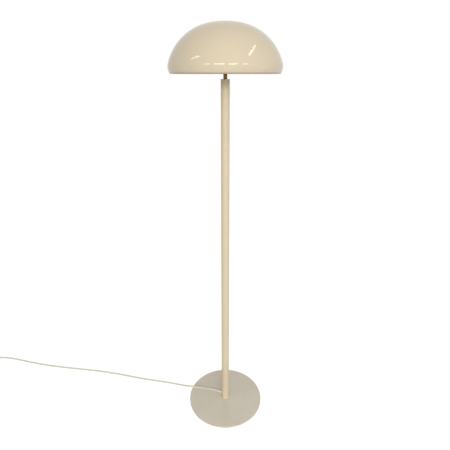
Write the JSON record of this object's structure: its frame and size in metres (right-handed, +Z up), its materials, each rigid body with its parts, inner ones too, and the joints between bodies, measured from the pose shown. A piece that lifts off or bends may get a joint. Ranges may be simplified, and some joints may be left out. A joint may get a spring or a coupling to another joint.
{
  "type": "floor lamp",
  "caption": "Floor lamp with a glossy domed shade resting on three bent arms, a slim round stem, a flat round foot, and a mains cord with a foot switch and plug.",
  "frame": {"origin": "middle of the foot's underside, on the floor", "axes": "+Z up along the stem, +X to the right and -Y the front, as the picture sees it; the cord leaves towards -X"},
  "size_m": [1.252, 0.3884, 1.354],
  "materials": {
    "felt": "matt felt",
    "stand_paint": "smooth gloss paint",
    "shade_plastic": "glossy moulded plastic",
    "aged_copper": "darkened copper",
    "zinc_steel": "zinc plated",
    "carrier_paint": "satin paint",
    "tip_rubber": "soft translucent rubber",
    "holder_plastic": "smooth moulded plastic",
    "ceramic": "glazed steatite",
    "brass": "stamped brass",
    "cord_sheath": "satin flexible sheath",
    "core_sheath": "thin insulation",
    "tie_plastic": "ribbed band",
    "switch_plastic": "fine textured plastic",
    "foot_rubber": "matt rubber",
    "block_plastic": "moulded phenolic",
    "spring_steel": "bright wire",
    "plug_plastic": "satin moulded plastic",
    "nickel": "nickel plated",
    "sleeve_plastic": "smooth insulating sleeve",
    "opal_glass": "opal white",
    "cap_metal": "rolled thread",
    "bulb_insulator": "black glass"
  },
  "bodies": {
    "stand": {"foot_pad": "felt", "foot_disc": "stand_paint", "foot_screw": "zinc_steel", "stem_tube": "stand_paint", "stem_plug": "zinc_steel", "stem_cap": "stand_paint", "nipple": "zinc_steel", "lower_nut": "zinc_steel", "lower_washer": "zinc_steel", "copper_sleeve": "aged_copper", "toothed_washer": "zinc_steel", "carrier_hub": "carrier_paint", "carrier_arms": "carrier_paint", "carrier_tips": "tip_rubber", "holder_cap": "holder_plastic", "holder_grub_screw": "zinc_steel", "holder_shell": "holder_plastic", "holder_insert": "ceramic", "holder_contact": "brass", "holder_screw_shell": "brass", "holder_terminals": "brass", "terminal_screws": "zinc_steel", "inner_cord": "cord_sheath", "core_wires": "core_sheath", "strain_relief": "cord_sheath", "cord_lead": "cord_sheath", "cord_link": "cord_sheath", "cord_coil": "cord_sheath", "cord_tail": "cord_sheath", "cord_tie": "tie_plastic", "switch_base": "switch_plastic", "switch_cover": "switch_plastic", "switch_feet": "foot_rubber", "switch_screws": "zinc_steel", "switch_reliefs": "cord_sheath", "switch_wires": "core_sheath", "switch_block": "block_plastic", "switch_spring": "spring_steel", "plug_relief": "cord_sheath", "plug_body": "plug_plastic", "plug_pins": "nickel", "plug_pin_sleeves": "sleeve_plastic"},
    "shade": {"shade_dome": "shade_plastic"},
    "bulb": {"bulb_globe": "opal_glass", "bulb_cap": "cap_metal", "bulb_contact": "bulb_insulator"},
    "button": {"switch_button": "switch_plastic"}
  },
  "joints": [
    {"name": "shade_lift", "type": "slide", "parent": "stand", "child": "shade", "axis": [0, 0, 1], "range_m": [0, 0.2]},
    {"name": "bulb_out", "type": "slide", "parent": "stand", "child": "bulb", "axis": [0, 0, 1], "range_m": [0, 0.02]},
    {"name": "button_press", "type": "slide", "parent": "stand", "child": "button", "axis": [0, 0, -1], "range_m": [0, 0.003], "stiffness_N_per_m": 900, "springref_m": -0.002, "deforming": ["switch_spring"]}
  ]
}
